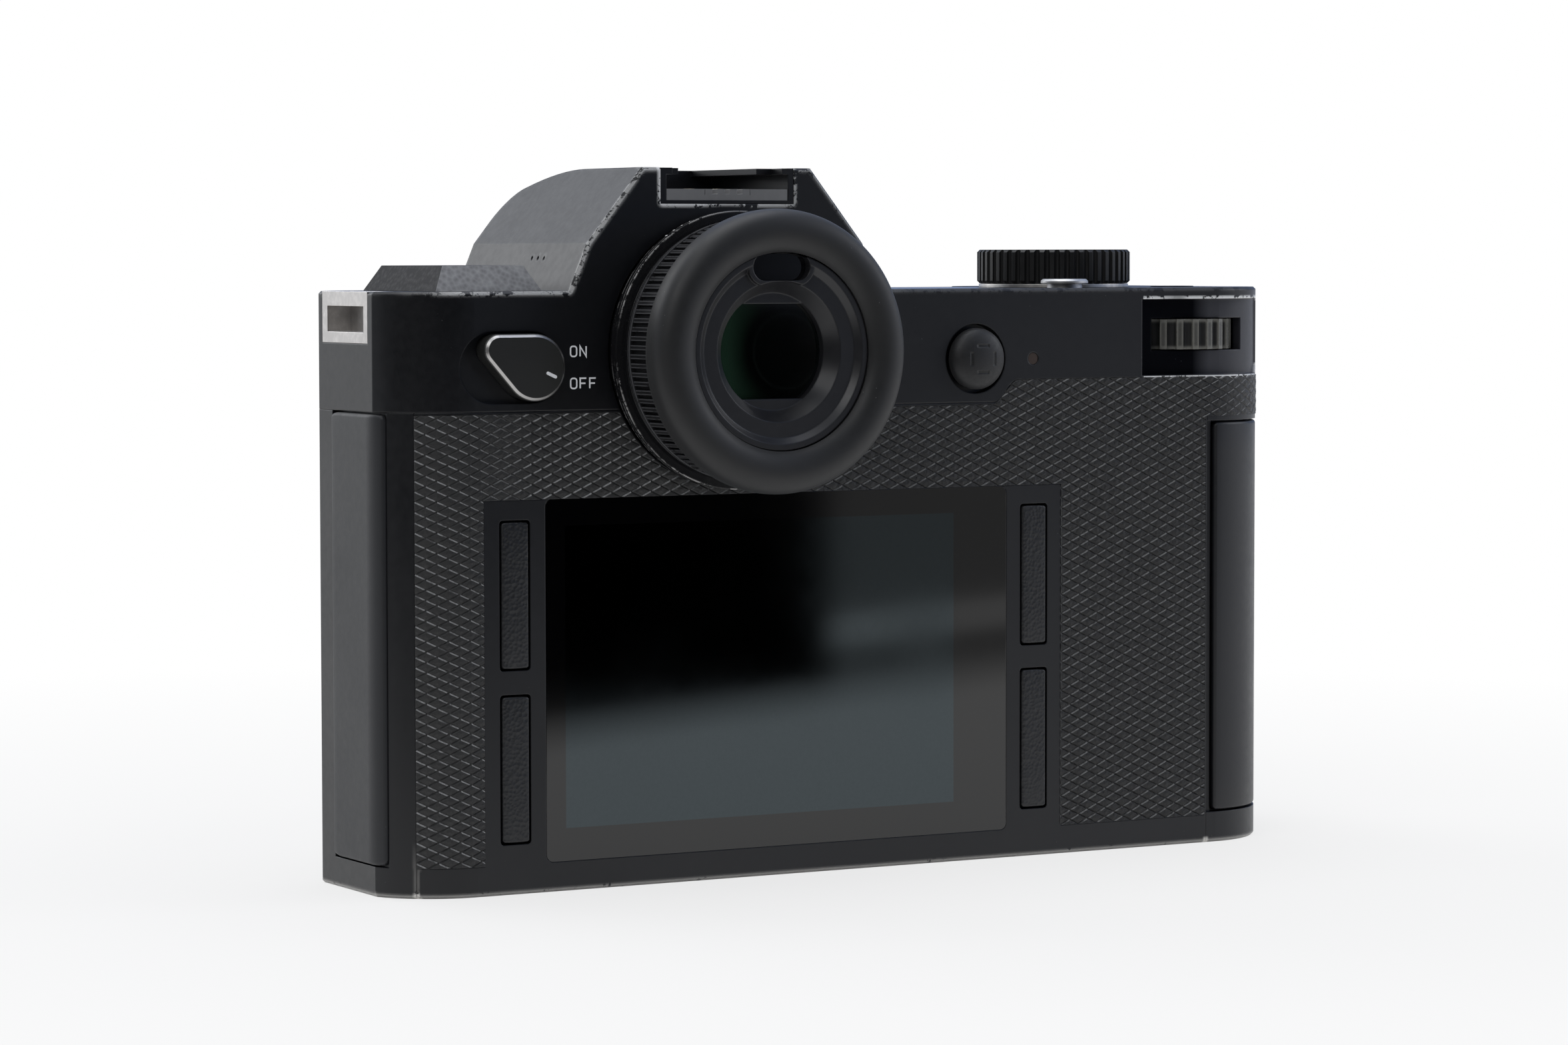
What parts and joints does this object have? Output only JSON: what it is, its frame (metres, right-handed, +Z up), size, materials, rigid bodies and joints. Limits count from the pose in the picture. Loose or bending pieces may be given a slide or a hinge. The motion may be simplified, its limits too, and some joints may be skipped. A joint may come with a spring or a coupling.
{
  "type": "mirrorless camera",
  "caption": "Full-frame mirrorless camera body with bare bayonet mount, round eyepiece, fixed rear screen, hot shoe, grip and moving dials, buttons and doors.",
  "frame": {"origin": "mouth of the tripod socket on the base, under the lens axis, mid body depth", "axes": "+X to the viewer's right, +Y out of the lens mount, +Z up"},
  "size_m": [0.1474, 0.0653, 0.1005],
  "materials": {
    "black_metal": "semi-matte black anodised aluminium",
    "covering": "embossed diamond grain",
    "bare_metal": "satin",
    "mount_steel": "polished",
    "silver_button": "satin",
    "rubber": "matte",
    "flap_rubber": "matte",
    "black_plastic": "fine grain",
    "button_plastic": "fine leather grain",
    "screen_glass": "glossy",
    "screen_panel": "smooth",
    "lens_glass": "coated",
    "dark_window": "glossy",
    "lamp": "clear",
    "gold": "plated",
    "cast_frame": "cast",
    "sensor": "coated",
    "battery_shell": "moulded"
  },
  "bodies": {
    "camera": {"body_shell": "black_metal", "rear_cover": "black_metal", "top_cover": "black_metal", "rear_covering": "covering", "front_covering": "covering", "screen_glass": "screen_glass", "screen_panel": "screen_panel", "status_lamp": "lamp", "top_dial_ring": "bare_metal", "shutter_collar": "bare_metal", "top_display": "dark_window", "antenna_cover": "black_plastic", "hot_shoe_rail": "black_metal", "hot_shoe_insert": "black_plastic", "hot_shoe_contacts": "gold", "eyepiece_drum": "black_metal", "eyecup": "rubber", "eyepiece_bezel": "black_plastic", "eye_sensor_window": "dark_window", "eyepiece_lens": "lens_glass", "finder_tube": "black_plastic", "strap_lug_left": "bare_metal", "strap_lug_right": "bare_metal", "hdmi_port": "bare_metal", "usb_port": "bare_metal", "audio_jacks": "bare_metal", "card_bay": "black_plastic", "tripod_bush": "bare_metal", "lens_mount_ring": "mount_steel", "mount_screws": "bare_metal", "contact_block": "black_plastic", "chassis": "cast_frame", "shutter_frame": "cast_frame", "sensor_holder": "cast_frame", "image_sensor": "sensor"},
    "button_upper_left": {"screen_button_upper_left": "button_plastic"},
    "button_lower_left": {"screen_button_lower_left": "button_plastic"},
    "button_upper_right": {"screen_button_upper_right": "button_plastic"},
    "button_lower_right": {"screen_button_lower_right": "button_plastic"},
    "power_lever": {"power_lever": "black_metal"},
    "joystick_carrier": {"joystick_carrier": "black_plastic"},
    "joystick_gimbal": {"joystick_gimbal": "black_plastic"},
    "joystick_cap": {"joystick_cap": "rubber"},
    "thumb_wheel": {"thumb_wheel": "black_metal"},
    "thumb_carriage": {"thumb_carriage": "black_plastic"},
    "top_dial": {"top_dial": "black_metal"},
    "shutter_button": {"shutter_button": "black_metal"},
    "menu_button": {"menu_button": "silver_button"},
    "play_button": {"play_button": "black_metal"},
    "diopter_ring": {"diopter_ring": "black_metal"},
    "terminal_cover": {"terminal_cover": "flap_rubber"},
    "card_door": {"card_door": "covering"},
    "card_door_slider": {"card_door_slider": "black_plastic"},
    "battery": {"battery": "battery_shell"},
    "battery_latch": {"battery_latch": "black_metal"},
    "lens_lock_pin": {"lens_lock_pin": "mount_steel"},
    "lens_release_button": {"lens_release_button": "black_metal"},
    "front_button": {"front_button": "black_metal"},
    "curtain_upper": {"shutter_curtain_upper": "black_metal"},
    "curtain_lower": {"shutter_curtain_lower": "black_metal"}
  },
  "joints": [
    {"name": "press_upper_left", "type": "slide", "parent": "camera", "child": "button_upper_left", "axis": [0, 1, 0], "range_m": [0, 0.00045], "stiffness_N_per_m": 400, "springref_m": -0.0005},
    {"name": "press_lower_left", "type": "slide", "parent": "camera", "child": "button_lower_left", "axis": [0, 1, 0], "range_m": [0, 0.00045], "stiffness_N_per_m": 400, "springref_m": -0.0005},
    {"name": "press_upper_right", "type": "slide", "parent": "camera", "child": "button_upper_right", "axis": [0, 1, 0], "range_m": [0, 0.00045], "stiffness_N_per_m": 400, "springref_m": -0.0005},
    {"name": "press_lower_right", "type": "slide", "parent": "camera", "child": "button_lower_right", "axis": [0, 1, 0], "range_m": [0, 0.00045], "stiffness_N_per_m": 400, "springref_m": -0.0005},
    {"name": "power_turn", "type": "hinge", "parent": "camera", "child": "power_lever", "pos_m": [-0.031, -0.01645, 0.07285], "axis": [0, -1, 0], "range_deg": [0, 48]},
    {"name": "stick_press", "type": "slide", "parent": "camera", "child": "joystick_carrier", "axis": [0, 1, 0], "range_m": [0, 0.0004], "stiffness_N_per_m": 500, "springref_m": -0.0005},
    {"name": "stick_up_down", "type": "hinge", "parent": "joystick_carrier", "child": "joystick_gimbal", "pos_m": [0.041, -0.01225, 0.07315], "axis": [1, 0, 0], "range_deg": [-5, 5], "stiffness_Nm_per_rad": 0.03},
    {"name": "stick_left_right", "type": "hinge", "parent": "joystick_gimbal", "child": "joystick_cap", "pos_m": [0.041, -0.01225, 0.07315], "axis": [0, 0, 1], "range_deg": [-5, 5], "stiffness_Nm_per_rad": 0.03},
    {"name": "thumb_press", "type": "slide", "parent": "camera", "child": "thumb_carriage", "axis": [0, 1, 0], "range_m": [0, 0.0005], "stiffness_N_per_m": 600, "springref_m": -0.0005},
    {"name": "thumb_turn", "type": "hinge", "parent": "thumb_carriage", "child": "thumb_wheel", "pos_m": [0.0814, -0.00615, 0.0763], "axis": [0, 0, 1], "continuous": true},
    {"name": "dial_turn", "type": "hinge", "parent": "camera", "child": "top_dial", "pos_m": [0.0677, 0.0043, 0.0833], "axis": [0, 0, 1], "continuous": true},
    {"name": "shutter_press", "type": "slide", "parent": "camera", "child": "shutter_button", "axis": [0, 0, -1], "range_m": [0, 0.001], "stiffness_N_per_m": 500, "springref_m": -0.001},
    {"name": "menu_press", "type": "slide", "parent": "camera", "child": "menu_button", "axis": [0, 0, -1], "range_m": [0, 0.0005], "stiffness_N_per_m": 400, "springref_m": -0.0005},
    {"name": "play_press", "type": "slide", "parent": "camera", "child": "play_button", "axis": [0, 0, -1], "range_m": [0, 0.0004], "stiffness_N_per_m": 400, "springref_m": -0.0005},
    {"name": "diopter_turn", "type": "hinge", "parent": "camera", "child": "diopter_ring", "pos_m": [0, -0.02245, 0.0749], "axis": [0, 1, 0], "range_deg": [-60, 60]},
    {"name": "flap_open", "type": "hinge", "parent": "camera", "child": "terminal_cover", "pos_m": [-0.05115, 0.0035, 0.035], "axis": [0, 0, -1], "range_deg": [0, 100]},
    {"name": "door_slide", "type": "slide", "parent": "camera", "child": "card_door_slider", "axis": [0, -1, 0], "range_m": [0, 0.003]},
    {"name": "door_swing", "type": "hinge", "parent": "card_door_slider", "child": "card_door", "pos_m": [0.08385, -0.01565, 0.034], "axis": [0, 0, -1], "range_deg": [0, 105]},
    {"name": "battery_slide", "type": "slide", "parent": "camera", "child": "battery", "axis": [0, 0, -1], "range_m": [0, 0.062]},
    {"name": "latch_slide", "type": "slide", "parent": "camera", "child": "battery_latch", "axis": [-1, 0, 0], "range_m": [0, 0.0025], "stiffness_N_per_m": 300, "springref_m": -0.001},
    {"name": "release_press", "type": "slide", "parent": "camera", "child": "lens_release_button", "axis": [0, -1, 0], "range_m": [0, 0.002], "stiffness_N_per_m": 500, "springref_m": -0.001},
    {"name": "pin_retract", "type": "slide", "parent": "camera", "child": "lens_lock_pin", "axis": [0, -1, 0], "range_m": [0, 0.002], "stiffness_N_per_m": 300, "springref_m": -0.001},
    {"name": "front_press", "type": "slide", "parent": "camera", "child": "front_button", "axis": [0, -1, 0], "range_m": [0, 0.0005], "stiffness_N_per_m": 400, "springref_m": -0.0005},
    {"name": "curtain_upper_close", "type": "slide", "parent": "camera", "child": "curtain_upper", "axis": [0, 0, -1], "range_m": [0, 0.0252]},
    {"name": "curtain_lower_close", "type": "slide", "parent": "camera", "child": "curtain_lower", "axis": [0, 0, 1], "range_m": [0, 0.0252]}
  ],
  "couplings": [
    {"joint": "pin_retract", "follows": "release_press", "ratio": 1}
  ]
}
